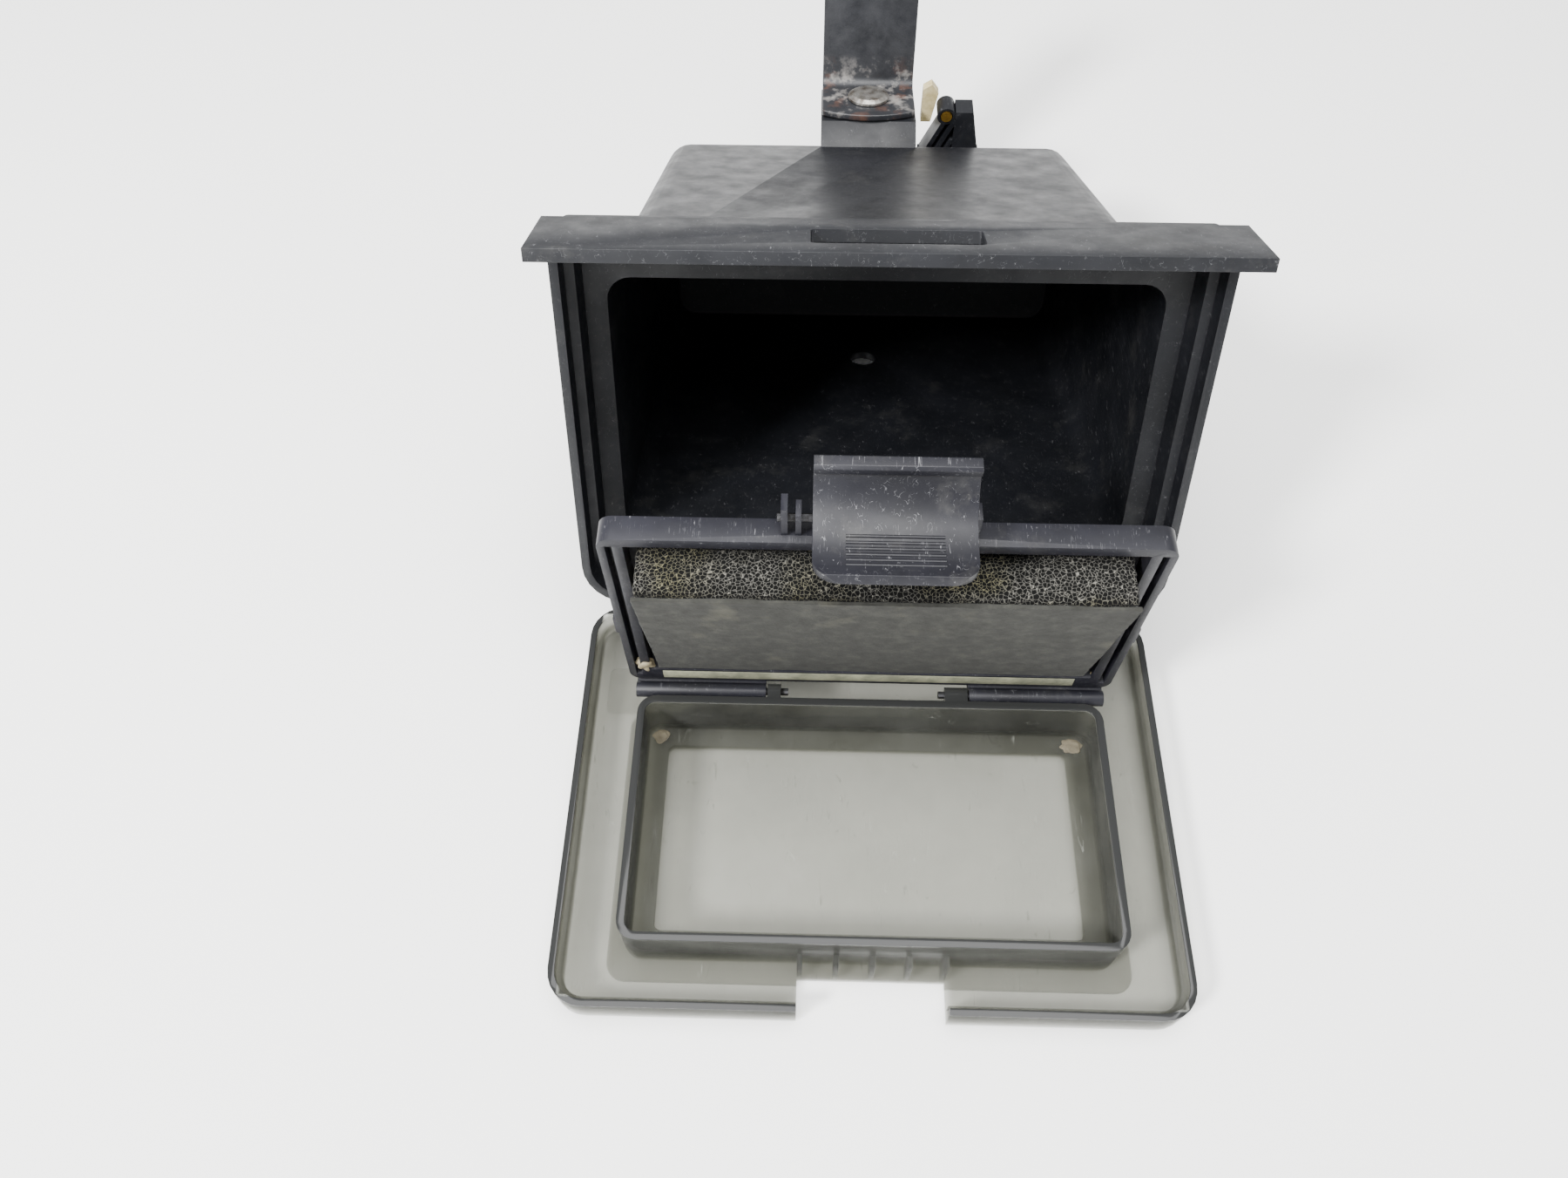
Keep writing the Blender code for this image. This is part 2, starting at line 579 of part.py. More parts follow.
def make_strap(foot, steel, rivet_steel):
    """The steel L strap with a round-nosed foot, and the rivet that holds it to the boss."""
    strap = prism("hanger_strap", strap_outline(), -STRAP_HALF, STRAP_HALF, "X")
    radius = (STRAP_HALF ** 2 + STRAP_NOSE ** 2) / (2 * STRAP_NOSE)
    nose = arc((0.0, radius), radius, 270 - STRAP_NOSE_ARC, 270 + STRAP_NOSE_ARC, 2 * ARC_STEPS)
    far = STRAP_HALF + 5 * PAST
    nose = [(-far, nose[0][1])] + nose + [(far, nose[-1][1]), (far, -PAST), (-far, -PAST)]
    cut(strap, prism("nose", nose, -PAST, STRAP_THICKNESS + PAST, "Z", foot))
    cut_rivet_hole(strap, foot)
    finish(strap, steel)

    head_low = STRAP_THICKNESS + GAP
    centre = (0.0, RIVET_ALONG)
    dome = [(circle(centre, RIVET_HEAD * wide), head_low + RIVET_HEAD_HEIGHT * high)
            for wide, high in RIVET_DOME]
    head = loft("strap_rivet", dome, "Z", foot)
    shank = (RIVET_TAIL_SPAN[0], head_low + GAP)
    join(head, prism("shank", circle(centre, RIVET_SHANK), *shank, "Z", foot))
    join(head, prism("tail", circle(centre, RIVET_TAIL_RADIUS), *RIVET_TAIL_SPAN, "Z", foot))
    finish(head, rivet_steel)


def make_bracket(black, cream, brass):
    """The ribbed bracket behind the tub: shelf, slanted ribs, side plate, loop, bush and pin."""
    left, right = BRACKET_SHELF
    start, end = BRACKET_Y, BRACKET_Y + BRACKET_DEPTH
    bracket = prism("rear_bracket", SHELF_OUTLINE, left, right, "X")
    foot_height = SHELF_OUTLINE[-1][1]
    for foot, top in zip(RIB_STARTS, RIB_TOPS):
        lean = RIB_SLOPE * (top - foot_height)
        outline = [(foot, foot_height - RIB_ROOT), (foot + RIB_WIDTH, foot_height - RIB_ROOT),
                   (foot + RIB_WIDTH + lean, top), (foot + lean, top)]
        join(bracket, prism("rib", outline, start, end, "Y"))
    join(bracket, prism("back_plate", BACK_PLATE, end - BACK_PLATE_THICKNESS, end, "Y"))
    join(bracket, prism("side_plate", SIDE_PLATE, start, end, "Y"))
    join(bracket, prism("loop", circle(LOOP_CENTRE, LOOP_OUTER), start, end, "Y"))
    bore = circle(LOOP_CENTRE, LOOP_BORE + GAP)
    cut(bracket, prism("loop_bore", bore, start - PAST, end + PAST, "Y"))
    finish(bracket, black)
    finish(prism("bracket_pin", circle(LOOP_CENTRE, LOOP_BORE), start - GAP, end, "Y"), brass)
    finish(prism("bracket_bush", BUSH_OUTLINE, *BUSH_DEPTH, "Y"), cream)


def main():
    clear_scene()
    black = make_material("black_moulding", (0.022, 0.023, 0.027), 0.42)
    smoked = make_material("smoked_clear", (0.36, 0.36, 0.31), 0.18, alpha=0.45)
    foam_grey = make_material("open_cell_foam", (0.03, 0.03, 0.028), 0.95)
    facing_grey = make_material("foam_facing", (0.075, 0.078, 0.07), 0.9)
    glue = make_material("dried_glue", (0.5, 0.44, 0.26), 0.6)
    steel = make_material("black_steel", (0.035, 0.035, 0.038), 0.5, metallic=0.6)
    bright = make_material("bare_steel", (0.5, 0.5, 0.49), 0.4, metallic=1.0)
    cream = make_material("cream_plastic", (0.7, 0.64, 0.46), 0.5)
    brass = make_material("tarnished_brass", (0.42, 0.24, 0.08), 0.45, metallic=0.9)

    housing_frame = make_frame("housing_origin", LIP_Y, LIP_Z, HOUSING_LEAN)
    carrier_frame = make_frame("carrier_origin", CARRIER_Y, CARRIER_Z, CARRIER_LEAN)
    foot_frame = make_frame("strap_foot_origin", *STRAP_FRONT, -STRAP_SLOPE)
    housing = make_housing(housing_frame)
    cut_rivet_hole(housing, foot_frame)
    finish(housing, black)
    make_flange(housing_frame, black)
    make_strap(foot_frame, steel, bright)
    make_bracket(black, cream, brass)
    make_carrier(carrier_frame, black)
    make_foam(carrier_frame, foam_grey, facing_grey, glue)
    make_latch(carrier_frame, black)
    make_latch_pin(carrier_frame, bright)
    make_spring(carrier_frame, bright)
    make_hinge_pins(bright)
    make_door(smoked)


main()
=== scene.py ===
"""Looks for an overhead storage box: a black moulded tub on a steel strap, and its smoked clear door.

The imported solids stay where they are. Pieces made here are placed in millimetres, in the frames that
the solids were drawn in.
"""
import json
import math

import bpy
from mathutils import Matrix, Vector, noise

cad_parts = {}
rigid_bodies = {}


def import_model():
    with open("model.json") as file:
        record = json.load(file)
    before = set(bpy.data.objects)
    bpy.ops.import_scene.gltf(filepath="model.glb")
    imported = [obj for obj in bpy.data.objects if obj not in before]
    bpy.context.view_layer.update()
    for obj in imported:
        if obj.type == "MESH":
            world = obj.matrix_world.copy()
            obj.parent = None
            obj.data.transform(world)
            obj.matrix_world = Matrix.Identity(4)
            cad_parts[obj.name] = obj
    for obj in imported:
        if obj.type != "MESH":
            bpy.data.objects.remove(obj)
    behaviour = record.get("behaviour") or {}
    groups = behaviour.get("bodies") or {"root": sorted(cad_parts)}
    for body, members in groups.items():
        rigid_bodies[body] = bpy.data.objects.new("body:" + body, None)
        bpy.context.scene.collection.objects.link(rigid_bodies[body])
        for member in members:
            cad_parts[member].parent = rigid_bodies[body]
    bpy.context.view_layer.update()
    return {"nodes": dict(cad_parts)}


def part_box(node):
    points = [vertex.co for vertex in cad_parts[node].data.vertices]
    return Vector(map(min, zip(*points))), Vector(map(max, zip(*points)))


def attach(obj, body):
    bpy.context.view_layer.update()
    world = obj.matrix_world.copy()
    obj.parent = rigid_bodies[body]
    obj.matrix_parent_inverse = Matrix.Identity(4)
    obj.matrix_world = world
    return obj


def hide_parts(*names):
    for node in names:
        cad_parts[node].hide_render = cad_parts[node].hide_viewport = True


MM = 0.001

# Frames in millimetres: Y and Z of the origin, and the lean in degrees. The door's is the world's.
CARRIER_AT = (38.3, 20.5, -2.0)
DOOR_AT = (0.0, 0.0, 0.0)

# Camera: where it stands, how it is turned, and its lens on a 36 mm sensor.
CAMERA_PLACE = (-0.0178, -0.11047, 0.30497)
CAMERA_PAN = 1.99
CAMERA_TILT = 32.14
CAMERA_ROLL = -0.58
CAMERA_LENS = 26.84

# Lights: the way the light travels, the distance and size in metres, and the power in watts.
KEY_LIGHT = ((0.56, 0.44, -0.70), 1.5, 0.28, 46.0)
OVERHEAD_LIGHT = ((0.0, 0.10, -1.0), 1.2, 1.1, 34.0)
LIGHT_TARGET = (0.0, 0.06, 0.05)
ROOM_BRIGHTNESS = 0.95

# Floor, in metres.
FLOOR_SIZE = 6.0
FLOOR_PLACE = (0.0, 0.5, -0.0004)

# Edges and copies of the CAD solids, in millimetres and degrees.
MERGE_DISTANCE = 0.01
FLAT_ANGLE = 0.6
EDGE_ANGLE = 28.0
EDGE_SEGMENTS = 3
EDGE_SHADE_ANGLE = 50.0
SOFT_SHADE_ANGLE = 60.0
LUMP_SHADE_ANGLE = 80.0

# Door: heights and places over which its wall ends turn dark, as start and end of the change.
TRAY_END = (20.5, 21.1)
RIM_END_LOW = (10.7, 11.2)
RIM_END_HIGH = (11.8, 11.6)
RIM_SIDE = (76.0, 77.0)
RIM_FRONT = (-43.8, -44.5)
RIM_BACK = (63.6, 64.3)

# Foam, in millimetres: mesh sizes, the most that cloth may move a point, and each wave as length and
# height. A pit is full depth once it is PIT_EDGE of a cell away from a strut.
PAD_VOXEL = 1.6
PAD_FINE_VOXEL = 0.62
PAD_MOST_MOVE = 0.5
CLOTH_PRESSURE = 4.0
CLOTH_TENSION = 40.0
CLOTH_BENDING = 2.0
CLOTH_STEPS = 20
CELL_SIZE = 1.25
PIT_DEPTH = 0.55
PIT_EDGE = 0.55
CUT_WAVE = (3.2, 0.25)
SKIN_VOXEL = 0.6
SKIN_SLOW_WAVE = (14.0, 0.22)
SKIN_FELT = (2.5, 0.10)
SKIN_SINK = 0.15

# Latch: its hollow front and the grip lines on it, in the carrier's frame.
LATCH_HOLLOW = (-7.5, 95.0)
LATCH_HOLLOW_RADIUS = 14.2
LATCH_CENTRE = 1.0
GRIP_ANGLES = range(252, 287, 6)
GRIP_LENGTH = 21.0
GRIP_HALF_WIDTH = 0.42
GRIP_HALF_HEIGHT = 0.34

# Dried glue and dirt: places and sizes in millimetres, and how knobbly the lumps are.
LUMP_ROUGHNESS = 0.45
LUMP_GRAIN = 3.1
GLUE_LEFT = ((-60.6, 0.9, 7.6), (5.0, 2.6, 5.6))
GLUE_RIGHT = ((60.4, 1.2, 6.8), (3.0, 1.8, 3.2))
GLUE_FILM = ((-56.0, -0.06, 1.2), (55.0, 0.10, 5.2))
TRAY_DIRT = (((-57.6, 28.6, 4.5), (4.5, 3.6, 0.5)), ((57.2, 28.2, 4.5), (6.0, 4.4, 0.6)))

for item in list(bpy.data.objects):
    bpy.data.objects.remove(item, do_unlink=True)
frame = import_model()


# ---------------------------------------------------------------- tools for meshes

def frame_matrix(place):
    """Millimetres in a leaning assembly's own frame to metres in the world."""
    y, z, lean = place
    turn = Matrix.Rotation(-math.radians(lean), 4, "X")
    return Matrix.Translation((0.0, y * MM, z * MM)) @ turn @ Matrix.Scale(MM, 4)


def select_only(item):
    for other in bpy.context.view_layer.objects:
        other.select_set(False)
    bpy.context.view_layer.objects.active = item
    item.select_set(True)


def bake_place(item):
    """Puts a piece's place, turn and size into its mesh."""
    select_only(item)
    bpy.ops.object.transform_apply(location=True, rotation=True, scale=True)


def apply_modifier(item, name, kind, **settings):
    change = item.modifiers.new(name, kind)
    for key, value in settings.items():
        setattr(change, key, value)
    select_only(item)
    bpy.ops.object.modifier_apply(modifier=name)


def smooth(item, angle=35.0):
    select_only(item)
    bpy.ops.object.shade_smooth_by_angle(angle=math.radians(angle))


def dress(item, body, material):
    """Gives a finished piece its body and its look."""
    item.data.materials.clear()
    item.data.materials.append(material)
    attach(item, body)
    return item


def block(name, low, high, place):
    """A box between two corners, in millimetres of a leaning frame."""
    centre = [(a + b) / 2 for a, b in zip(low, high)]
    size = [b - a for a, b in zip(low, high)]
    bpy.ops.object.select_all(action="DESELECT")
    bpy.ops.mesh.primitive_cube_add(size=1.0)
    item = bpy.context.object
    item.name = name
    item.matrix_world = frame_matrix(place) @ Matrix.Translation(centre) @ Matrix.Diagonal((*size, 1.0))
    bake_place(item)
    return item


def joined(name, pieces):
    """Several finished meshes as one piece."""
    select_only(pieces[0])
    for piece in pieces[1:]:
        piece.select_set(True)
    bpy.ops.object.join()
    item = bpy.context.object
    item.name = name
    return item


def merged_copy(node, name):
    """A free copy of a CAD node: its loose triangles joined, all selected, and still in edit mode."""
    item = frame["nodes"][node].copy()
    item.data = item.data.copy()
    item.parent = None
    item.name = name
    for key in list(item.keys()):
        del item[key]
    bpy.context.scene.collection.objects.link(item)
    select_only(item)
    bpy.ops.object.mode_set(mode="EDIT")
    bpy.ops.mesh.select_all(action="SELECT")
    bpy.ops.mesh.remove_doubles(threshold=MERGE_DISTANCE * MM)
    return item


def refined(node, name, width):
    """A copy of a CAD node with its flat faces whole again and its edges rounded."""
    item = merged_copy(node, name)
    bpy.ops.mesh.dissolve_limited(angle_limit=math.radians(FLAT_ANGLE))
    bpy.ops.mesh.customdata_custom_splitnormals_clear()
    bpy.ops.object.mode_set(mode="OBJECT")
    apply_modifier(item, "round edges", "BEVEL", width=width * MM, segments=EDGE_SEGMENTS,
                   limit_method="ANGLE", angle_limit=math.radians(EDGE_ANGLE), miter_outer="MITER_ARC",
                   use_clamp_overlap=True, harden_normals=False)
    smooth(item, EDGE_SHADE_ANGLE)
    return item


# ---------------------------------------------------------------- tools for materials

def colour(text):
    """An sRGB hex value as the linear colour that a shader takes."""
    channels = [int(text[index:index + 2], 16) / 255 for index in (0, 2, 4)]
    return tuple(c / 12.92 if c <= 0.04045 else ((c + 0.055) / 1.055) ** 2.4 for c in channels) + (1.0,)


def fill(tree, node, inputs):
    """Sets a node's sockets: another node's output is linked, and anything else is its value."""
    for key, value in inputs.items():
        if isinstance(value, bpy.types.NodeSocket):
            tree.links.new(value, node.inputs[key])
        else:
            node.inputs[key].default_value = value


def add(tree, kind, inputs, output=0, **settings):
    """Adds a node with its settings and sockets, and returns one of its outputs."""
    node = tree.nodes.new(kind)
    for key, value in settings.items():
        setattr(node, key, value)
    fill(tree, node, inputs)
    return node.outputs[output]


def start_material(name, inputs):
    """A new material: its Principled shader with constants set, and the place on the object."""
    material = bpy.data.materials.new(name)
    material.use_nodes = True
    tree = material.node_tree
    shader = tree.nodes["Principled BSDF"]
    fill(tree, shader, inputs)
    place = add(tree, "ShaderNodeTexCoord", {}, "Object")
    return material, tree, shader, place


def per_mm(size):
    """A texture scale that makes its features this many millimetres across."""
    return 1.0 / (size * MM)


def blotches(tree, place, size, low=0.0, high=1.0, faint=0.0, full=1.0, detail=4.0, coarse=0.6):
    """Cloudy spots this many millimetres across: faint up to one level of the cloud, full past another."""
    cloud = add(tree, "ShaderNodeTexNoise",
                {"Vector": place, "Scale": per_mm(size), "Detail": detail, "Roughness": coarse}, "Fac")
    return add(tree, "ShaderNodeMapRange", {"Value": cloud, "From Min": low, "From Max": high,
                                            "To Min": faint, "To Max": full}, "Result")


def scratches(tree, place, spacing, turn, width=0.008, stretch=45.0):
    """Thin long marks: a narrow level of a stretched cloud, kept only where another lets it show."""
    turned = add(tree, "ShaderNodeMapping",
                 {"Vector": place, "Rotation": (0.0, 0.0, turn), "Scale": (1.0, 1.0 / stretch, 1.0)})
    level = blotches(tree, turned, spacing, detail=1.0)
    away = add(tree, "ShaderNodeMath", {0: level, 1: 0.5}, operation="SUBTRACT")
    off_level = add(tree, "ShaderNodeMath", {0: away}, operation="ABSOLUTE")
    lines = add(tree, "ShaderNodeMapRange", {"Value": off_level, "From Min": width, "From Max": 0.0})
    gate = blotches(tree, place, spacing * 1.4, 0.54, 0.64, detail=3.0)
    return add(tree, "ShaderNodeMath", {0: lines, 1: gate}, operation="MULTIPLY")


# ---------------------------------------------------------------- materials

def make_moulding(name, base, worn, dust, scratch, gloss):
    """Polypropylene, injection moulded, black: a satin skin, greyed by dust and fine scratches."""
    material, tree, shader, place = start_material(name, {"IOR": 1.49, "Specular IOR Level": 0.36})
    tone = blotches(tree, place, 26.0, 0.32, 0.70, detail=5.0)
    mottled = add(tree, "ShaderNodeMix", {0: tone, 6: colour(base), 7: colour(worn)}, 2, data_type="RGBA")
    specks = blotches(tree, place, 1.3, 0.66, 0.74, detail=2.0)
    patches = blotches(tree, place, 14.0, 0.55, 0.74, detail=5.0, coarse=0.72)
    settled = add(tree, "ShaderNodeMath", {0: specks, 1: patches}, operation="MULTIPLY")
    haze = add(tree, "ShaderNodeMath", {0: patches, 1: 0.35}, operation="MULTIPLY")
    both = add(tree, "ShaderNodeMath", {0: settled, 1: haze}, operation="ADD", use_clamp=True)
    film = add(tree, "ShaderNodeMath", {0: both, 1: dust}, operation="MULTIPLY")
    dusty = add(tree, "ShaderNodeMix", {0: film, 6: mottled, 7: colour("8b8982")}, 2, data_type="RGBA")
    lines = add(tree, "ShaderNodeMath", {0: scratches(tree, place, 1.6, 0.5),
                                         1: scratches(tree, place, 1.2, 2.0)},
                operation="ADD", use_clamp=True)
    marks = add(tree, "ShaderNodeMath", {0: lines, 1: scratch}, operation="MULTIPLY")
    marked = add(tree, "ShaderNodeMix", {0: marks, 6: dusty, 7: colour("b9b9bc")}, 2, data_type="RGBA")
    satin = blotches(tree, place, 8.0, 0.3, 0.7, gloss, gloss + 0.16)
    dulled = add(tree, "ShaderNodeMath", {0: film, 1: 0.4}, operation="MULTIPLY")
    rough = add(tree, "ShaderNodeMath", {0: satin, 1: dulled}, operation="ADD", use_clamp=True)
    spark = blotches(tree, place, 0.6, detail=3.0)
    relief = add(tree, "ShaderNodeBump", {"Height": spark, "Distance": 0.02 * MM, "Strength": 0.35})
    fill(tree, shader, {"Base Color": marked, "Roughness": rough, "Normal": relief})
    return material


def wall_ends(tree, place):
    """1 on the tops of the door's rim and tray, where one looks down the whole height of a wall."""
    parts = tree.nodes.new("ShaderNodeSeparateXYZ")
    fill(tree, parts, {"Vector": place})
    across = add(tree, "ShaderNodeMath", {0: parts.outputs["X"]}, operation="ABSOLUTE")
    sources = ((parts.outputs["Z"], TRAY_END), (parts.outputs["Z"], RIM_END_LOW),
               (parts.outputs["Z"], RIM_END_HIGH), (across, RIM_SIDE),
               (parts.outputs["Y"], RIM_FRONT), (parts.outputs["Y"], RIM_BACK))
    tray_top, above, below, side, front, back = [
        add(tree, "ShaderNodeMapRange", {"Value": source, "From Min": start * MM, "From Max": end * MM})
        for source, (start, end) in sources]
    ends = add(tree, "ShaderNodeMath", {0: front, 1: back}, operation="ADD", use_clamp=True)
    around = add(tree, "ShaderNodeMath", {0: side, 1: ends}, operation="ADD", use_clamp=True)
    height = add(tree, "ShaderNodeMath", {0: above, 1: below}, operation="MULTIPLY")
    rim = add(tree, "ShaderNodeMath", {0: height, 1: around}, operation="MULTIPLY")
    return add(tree, "ShaderNodeMath", {0: tray_top, 1: rim}, operation="ADD", use_clamp=True)


def make_smoked():
    """Smoked acrylic, injection moulded: clear grey-green, so light passes and thick walls go dark."""
    material, tree, shader, place = start_material(
        "smoked_acrylic", {"IOR": 1.49, "Roughness": 0.1, "Specular IOR Level": 0.22})
    haze = blotches(tree, place, 30.0, 0.35, 0.75, 0.05, 0.15, detail=5.0)
    lines = scratches(tree, place, 3.5, 0.9, 0.01, 9.0)
    edge = add(tree, "ShaderNodeLayerWeight", {"Blend": 0.35}, "Facing")
    turned_away = add(tree, "ShaderNodeMapRange", {"Value": edge, "From Min": 0.45, "From Max": 1.0})
    grazing = add(tree, "ShaderNodeMath", {0: turned_away, 1: 0.5}, operation="MULTIPLY")
    ends = add(tree, "ShaderNodeMath", {0: wall_ends(tree, place), 1: 0.95}, operation="MULTIPLY")
    thick = add(tree, "ShaderNodeMath", {0: grazing, 1: ends}, operation="ADD", use_clamp=True)
    cloudy = add(tree, "ShaderNodeMath", {0: haze, 1: thick}, operation="ADD", use_clamp=True)
    marks = add(tree, "ShaderNodeMath", {0: lines, 1: 0.2}, operation="MULTIPLY")
    alpha = add(tree, "ShaderNodeMath", {0: cloudy, 1: marks}, operation="ADD", use_clamp=True)
    tint = add(tree, "ShaderNodeMix", {0: thick, 6: colour("9b9c95"), 7: colour("0d0e11")}, 2,
               data_type="RGBA")
    flow = blotches(tree, place, 18.0, detail=3.0)
    relief = add(tree, "ShaderNodeBump", {"Height": flow, "Distance": 0.05 * MM, "Strength": 0.4})
    fill(tree, shader, {"Base Color": tint, "Alpha": alpha, "Normal": relief})
    smoke = add(tree, "ShaderNodeVolumeAbsorption", {"Color": colour("cdcdc8"), "Density": 900.0})
    fill(tree, tree.nodes["Material Output"], {"Volume": smoke})
    return material


def make_foam():
    """Polyurethane foam, open-celled: thin pale struts, yellowed in places, with painted shade in the pits
    between them.
    """
    material, tree, shader, place = start_material(
        "reticulated_foam",
        {"Roughness": 0.95, "IOR": 1.45, "Specular IOR Level": 0.15, "Sheen Weight": 0.05})
    cells = add(tree, "ShaderNodeTexVoronoi",
                {"Vector": place, "Scale": per_mm(0.95), "Randomness": 0.9}, "Distance",
                feature="DISTANCE_TO_EDGE")
    struts = add(tree, "ShaderNodeMapRange", {"Value": cells, "From Min": 0.09, "From Max": 0.01})
    aged = blotches(tree, place, 22.0, 0.50, 0.66, detail=3.0)
    yellowed = add(tree, "ShaderNodeMath", {0: aged, 1: 0.7}, operation="MULTIPLY")
    strut = add(tree, "ShaderNodeMix", {0: yellowed, 6: colour("6b6962"), 7: colour("6d6845")}, 2,
                data_type="RGBA")
    # The near-black colour is painted shade: it stands for the dark inside of the open cells between the
    # struts.
    tone = add(tree, "ShaderNodeMix", {0: struts, 6: colour("070706"), 7: strut}, 2, data_type="RGBA")
    relief = add(tree, "ShaderNodeBump", {"Height": struts, "Distance": 0.35 * MM, "Strength": 0.9})
    fill(tree, shader, {"Base Color": tone, "Normal": relief})
    return material


def make_facing():
    """Polyurethane foam, fine-pored and felted: matt olive grey with a mottle and pale rubbed marks."""
    material, tree, shader, place = start_material(
        "felted_foam_skin",
        {"Roughness": 0.93, "IOR": 1.45, "Specular IOR Level": 0.12, "Sheen Weight": 0.03})
    low = blotches(tree, place, 4.0, 0.30, 0.52, detail=6.0, coarse=0.7)
    high = blotches(tree, place, 4.0, 0.52, 0.72, detail=6.0, coarse=0.7)
    dark = add(tree, "ShaderNodeMix", {0: low, 6: colour("2a2a27"), 7: colour("333330")}, 2,
               data_type="RGBA")
    mottled = add(tree, "ShaderNodeMix", {0: high, 6: dark, 7: colour("3f3f3a")}, 2, data_type="RGBA")
    patches = blotches(tree, place, 17.0, 0.62, 0.74, 0.0, 0.4)
    rubbed = add(tree, "ShaderNodeMix", {0: patches, 6: mottled, 7: colour("5a584c")}, 2,
                 data_type="RGBA")
    felt = blotches(tree, place, 0.7, detail=3.0)
    relief = add(tree, "ShaderNodeBump", {"Height": felt, "Distance": 0.12 * MM, "Strength": 0.8})
    fill(tree, shader, {"Base Color": rubbed, "Normal": relief})
    return material


def make_steel_strip():
    """Mild steel strip in black paint: the paint is rubbed pale and rusty where it is bent."""
    material, tree, shader, place = start_material("black_painted_steel", {"IOR": 1.5})
    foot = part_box("hanger_strap")[0].z
    height = add(tree, "ShaderNodeSeparateXYZ", {"Vector": place}, "Z")
    near_bend = add(tree, "ShaderNodeMapRange",
                    {"Value": height, "From Min": foot + 11.0 * MM, "From Max": foot + 1.0 * MM})
    pale_spots = blotches(tree, place, 6.0, 0.52, 0.66, 0.0, 0.55, detail=6.0, coarse=0.65)
    rust_spots = blotches(tree, place, 8.0, 0.55, 0.70, 0.0, 0.5, detail=5.0)
    worn = add(tree, "ShaderNodeMath", {0: near_bend, 1: pale_spots}, operation="MULTIPLY")
    rust = add(tree, "ShaderNodeMath", {0: near_bend, 1: rust_spots}, operation="MULTIPLY")
    tone = blotches(tree, place, 12.0, 0.3, 0.7, detail=5.0)
    paint = add(tree, "ShaderNodeMix", {0: tone, 6: colour("141518"), 7: colour("1f2024")}, 2,
                data_type="RGBA")
    pale = add(tree, "ShaderNodeMix", {0: worn, 6: paint, 7: colour("a5a09a")}, 2, data_type="RGBA")
    rusty = add(tree, "ShaderNodeMix", {0: rust, 6: pale, 7: colour("6a4430")}, 2, data_type="RGBA")
    rough = blotches(tree, place, 6.0, 0.3, 0.7, 0.36, 0.62)
    lifted = add(tree, "ShaderNodeMath", {0: worn, 1: 0.6}, operation="MULTIPLY")
    skin = add(tree, "ShaderNodeMath", {0: lifted, 1: blotches(tree, place, 1.0)}, operation="ADD",
               use_clamp=True)
    relief = add(tree, "ShaderNodeBump", {"Height": skin, "Distance": 0.05 * MM, "Strength": 0.6})
    fill(tree, shader, {"Base Color": rusty, "Roughness": rough, "Normal": relief})
    return material


def make_metal(name, base, rough, tarnish):
    """Bare steel or brass, turned or drawn: dull from handling, with darker tarnish in patches."""
    material, tree, shader, place = start_material(name, {"Metallic": 1.0})
    patches = blotches(tree, place, 2.4, 0.4, 0.65, detail=5.0)
    tone = add(tree, "ShaderNodeMix", {0: patches, 6: colour(base), 7: colour(tarnish)}, 2,
               data_type="RGBA")
    dull = blotches(tree, place, 1.2, 0.3, 0.7, rough, rough + 0.2)
    relief = add(tree, "ShaderNodeBump",
                 {"Height": blotches(tree, place, 0.5), "Distance": 0.02 * MM, "Strength": 0.5})
    fill(tree, shader, {"Base Color": tone, "Roughness": dull, "Normal": relief})
    return material


def make_plain(name, base, stain, rough, size):
    """Moulded nylon, dried glue or caked dirt: one matter with a soft change of tone."""
    material, tree, shader, place = start_material(name, {"IOR": 1.47})
    patches = blotches(tree, place, size, 0.36, 0.66, detail=5.0)
    tone = add(tree, "ShaderNodeMix", {0: patches, 6: colour(base), 7: colour(stain)}, 2,
               data_type="RGBA")
    dull = add(tree, "ShaderNodeMapRange", {"Value": patches, "To Min": rough, "To Max": rough + 0.15})
    relief = add(tree, "ShaderNodeBump",
                 {"Height": blotches(tree, place, size / 6), "Distance": 0.15 * MM, "Strength": 0.8})
    fill(tree, shader, {"Base Color": tone, "Roughness": dull, "Normal": relief})
    return material


black = make_moulding("black_polypropylene", "0b0c0f", "131418", 0.12, 0.12, 0.38)
flange_black = make_moulding("scuffed_polypropylene", "0f1013", "18191d", 0.20, 0.25, 0.42)
frame_black = make_moulding("handled_polypropylene", "121217", "1e1e25", 0.20, 0.25, 0.38)
latch_black = make_moulding("rubbed_polypropylene", "0f0f13", "1b1b21", 0.24, 0.40, 0.38)
smoked = make_smoked()
foam_look = make_foam()
facing_look = make_facing()
strip = make_steel_strip()
steel = make_metal("dull_steel", "b4b1ab", 0.34, "6d655c")
dark_steel = make_metal("dark_tarnished_steel", "4a4a4c", 0.45, "2b2a29")
brass = make_metal("tarnished_brass", "b08a3c", 0.38, "6f5426")
cream = make_plain("cream_nylon", "c4b78e", "9c8c60", 0.45, 5.0)
glue = make_plain("dried_contact_glue", "8a8168", "665c46", 0.6, 3.0)
dirt = make_plain("caked_dirt", "6b6452", "4d473a", 0.7, 3.0)
residue = make_plain("glue_residue", "6a6b5a", "8b8b74", 0.6, 4.0)


# ---------------------------------------------------------------- moulded parts

